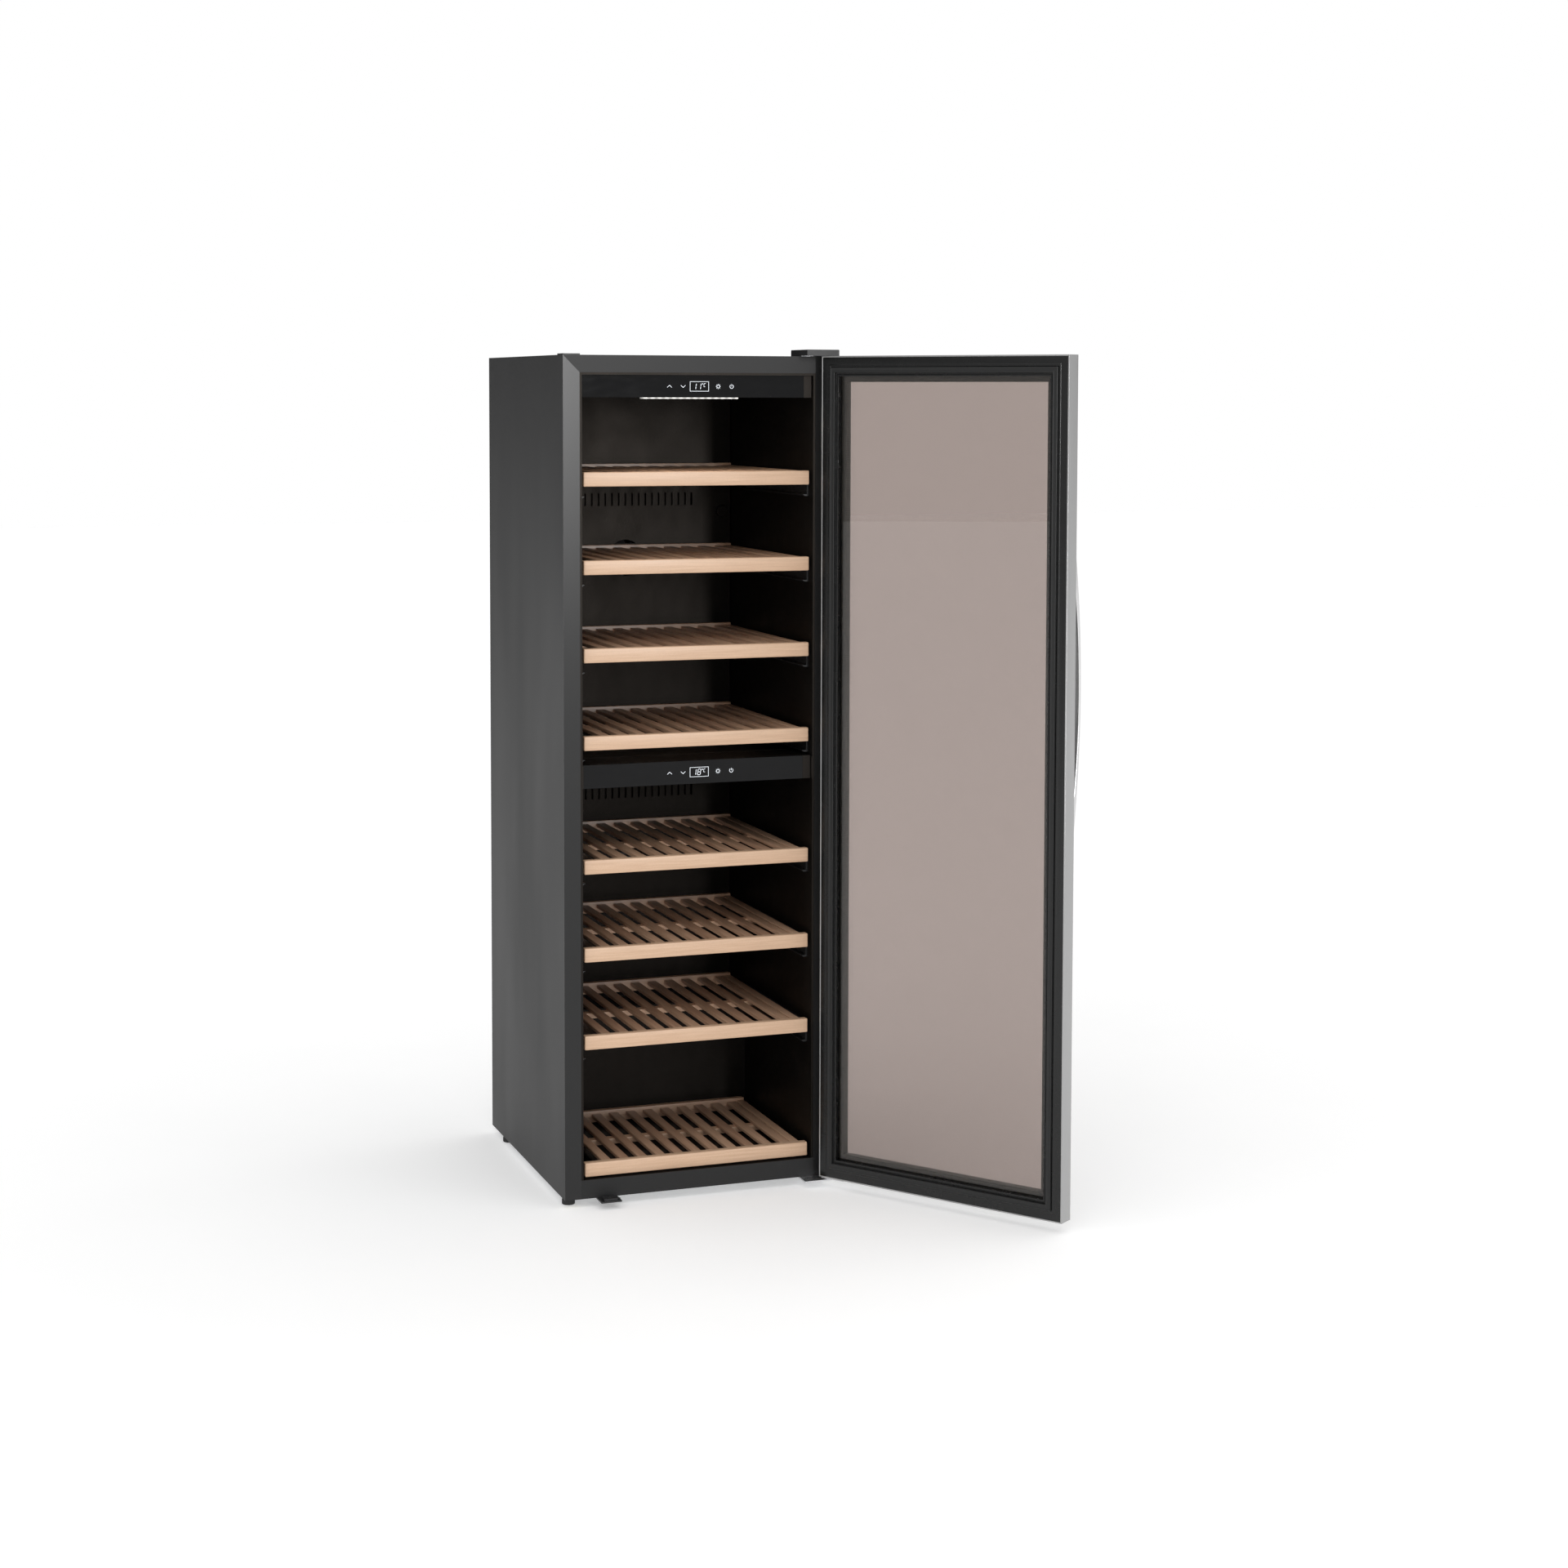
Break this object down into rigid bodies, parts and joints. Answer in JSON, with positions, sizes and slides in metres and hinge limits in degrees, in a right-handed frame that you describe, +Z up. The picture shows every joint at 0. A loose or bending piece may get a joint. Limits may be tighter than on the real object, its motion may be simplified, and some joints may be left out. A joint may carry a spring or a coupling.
{
  "type": "wine cooler",
  "caption": "Tall free-standing two-zone wine cooler with a tinted glass door on side hinges, sliding beech shelves and touch panels.",
  "frame": {"origin": "on the floor, under the middle of the front left foot", "axes": "+X to the right and +Y to the back as one faces the door, +Z up; the door stands open at rest"},
  "size_m": [0.9636, 1.1474, 1.812],
  "materials": {
    "cabinet_steel": "satin",
    "galvanised_steel": "satin",
    "polyurethane_foam": "matte",
    "black_liner": "satin",
    "black_touch_glass": "gloss",
    "light_diffuser": "satin",
    "fan_plastic": "matte",
    "coil_aluminium": "satin",
    "compressor_black": "satin",
    "mount_rubber": "matte",
    "copper_pipe": "satin",
    "zinc_steel": "satin",
    "black_trim": "satin",
    "black_steel": "satin",
    "beech": "satin",
    "stainless_steel": "satin",
    "door_black_plastic": "satin",
    "gasket_rubber": "matte",
    "tinted_glass": "gloss",
    "spacer_metal": "satin"
  },
  "bodies": {
    "cabinet": {"side_panel_left": "cabinet_steel", "side_panel_right": "cabinet_steel", "top_panel": "cabinet_steel", "bottom_rail": "cabinet_steel", "rear_panel": "galvanised_steel", "base_plate": "galvanised_steel", "compressor_cover": "galvanised_steel", "insulation_foam": "polyurethane_foam", "upper_liner": "black_liner", "lower_liner": "black_liner", "zone_divider": "black_liner", "air_ducts": "black_liner", "air_filter": "black_liner", "control_panels": "black_liner", "touch_panels": "black_touch_glass", "led_strips": "light_diffuser", "fan_frames": "fan_plastic", "mains_inlet": "fan_plastic", "drain_pan": "fan_plastic", "evaporators": "coil_aluminium", "condenser_coil": "coil_aluminium", "compressor": "compressor_black", "compressor_mounts": "mount_rubber", "refrigerant_pipes": "copper_pipe", "upper_hinge_bracket": "zinc_steel", "lower_hinge_bracket": "zinc_steel", "cabinet_screws": "zinc_steel", "hinge_covers": "black_trim", "door_rest_bracket": "black_steel", "runner_rails": "black_steel"},
    "door": {"door_frame": "stainless_steel", "door_inner_frame": "door_black_plastic", "door_gasket": "gasket_rubber", "door_glass_panes": "tinted_glass", "door_glass_spacer": "spacer_metal", "door_hinge_plates": "zinc_steel", "door_handle": "stainless_steel", "door_handle_screws": "zinc_steel"},
    "shelf_1": {"shelf_1": "beech", "shelf_1_runners": "black_steel"},
    "shelf_2": {"shelf_2": "beech", "shelf_2_runners": "black_steel"},
    "shelf_3": {"shelf_3": "beech", "shelf_3_runners": "black_steel"},
    "shelf_4": {"shelf_4": "beech", "shelf_4_runners": "black_steel"},
    "shelf_5": {"shelf_5": "beech", "shelf_5_runners": "black_steel"},
    "shelf_6": {"shelf_6": "beech", "shelf_6_runners": "black_steel"},
    "shelf_7": {"shelf_7": "beech", "shelf_7_runners": "black_steel"},
    "shelf_8": {"shelf_8": "beech"},
    "circulation_fan_upper": {"circulation_fan_upper": "fan_plastic"},
    "circulation_fan_lower": {"circulation_fan_lower": "fan_plastic"},
    "condenser_fan": {"condenser_fan": "fan_plastic"},
    "foot_front_left": {"foot_front_left": "mount_rubber"},
    "foot_front_right": {"foot_front_right": "mount_rubber"},
    "foot_rear_left": {"foot_rear_left": "mount_rubber"},
    "foot_rear_right": {"foot_rear_right": "mount_rubber"}
  },
  "joints": [
    {"name": "door_swing", "type": "hinge", "parent": "cabinet", "child": "door", "pos_m": [0.566, -0.065, 0.9112], "axis": [0, 0, 1], "range_deg": [-125.8, 4.2]},
    {"name": "shelf_1_slide", "type": "slide", "parent": "cabinet", "child": "shelf_1", "axis": [0, -1, 0], "range_m": [0, 0.3]},
    {"name": "shelf_2_slide", "type": "slide", "parent": "cabinet", "child": "shelf_2", "axis": [0, -1, 0], "range_m": [0, 0.3]},
    {"name": "shelf_3_slide", "type": "slide", "parent": "cabinet", "child": "shelf_3", "axis": [0, -1, 0], "range_m": [0, 0.3]},
    {"name": "shelf_4_slide", "type": "slide", "parent": "cabinet", "child": "shelf_4", "axis": [0, -1, 0], "range_m": [0, 0.3]},
    {"name": "shelf_5_slide", "type": "slide", "parent": "cabinet", "child": "shelf_5", "axis": [0, -1, 0], "range_m": [0, 0.3]},
    {"name": "shelf_6_slide", "type": "slide", "parent": "cabinet", "child": "shelf_6", "axis": [0, -1, 0], "range_m": [0, 0.3]},
    {"name": "shelf_7_slide", "type": "slide", "parent": "cabinet", "child": "shelf_7", "axis": [0, -1, 0], "range_m": [0, 0.3]},
    {"name": "shelf_8_slide", "type": "slide", "parent": "cabinet", "child": "shelf_8", "axis": [0, -1, 0], "range_m": [0, 0.3]},
    {"name": "circulation_fan_upper_spin", "type": "hinge", "parent": "cabinet", "child": "circulation_fan_upper", "pos_m": [0.2795, 0.522, 1.34], "axis": [0, -1, 0], "continuous": true},
    {"name": "circulation_fan_lower_spin", "type": "hinge", "parent": "cabinet", "child": "circulation_fan_lower", "pos_m": [0.2795, 0.522, 0.648], "axis": [0, -1, 0], "continuous": true},
    {"name": "condenser_fan_spin", "type": "hinge", "parent": "cabinet", "child": "condenser_fan", "pos_m": [0.079, 0.51, 0.1315], "axis": [0, -1, 0], "continuous": true},
    {"name": "foot_front_left_turn", "type": "hinge", "parent": "cabinet", "child": "foot_front_left", "pos_m": [0, 0, 0], "axis": [0, 0, 1], "continuous": true},
    {"name": "foot_front_right_turn", "type": "hinge", "parent": "cabinet", "child": "foot_front_right", "pos_m": [0.545, 0.041, 0], "axis": [0, 0, 1], "continuous": true},
    {"name": "foot_rear_left_turn", "type": "hinge", "parent": "cabinet", "child": "foot_rear_left", "pos_m": [0, 0.509, 0], "axis": [0, 0, 1], "continuous": true},
    {"name": "foot_rear_right_turn", "type": "hinge", "parent": "cabinet", "child": "foot_rear_right", "pos_m": [0.559, 0.509, 0], "axis": [0, 0, 1], "continuous": true}
  ]
}
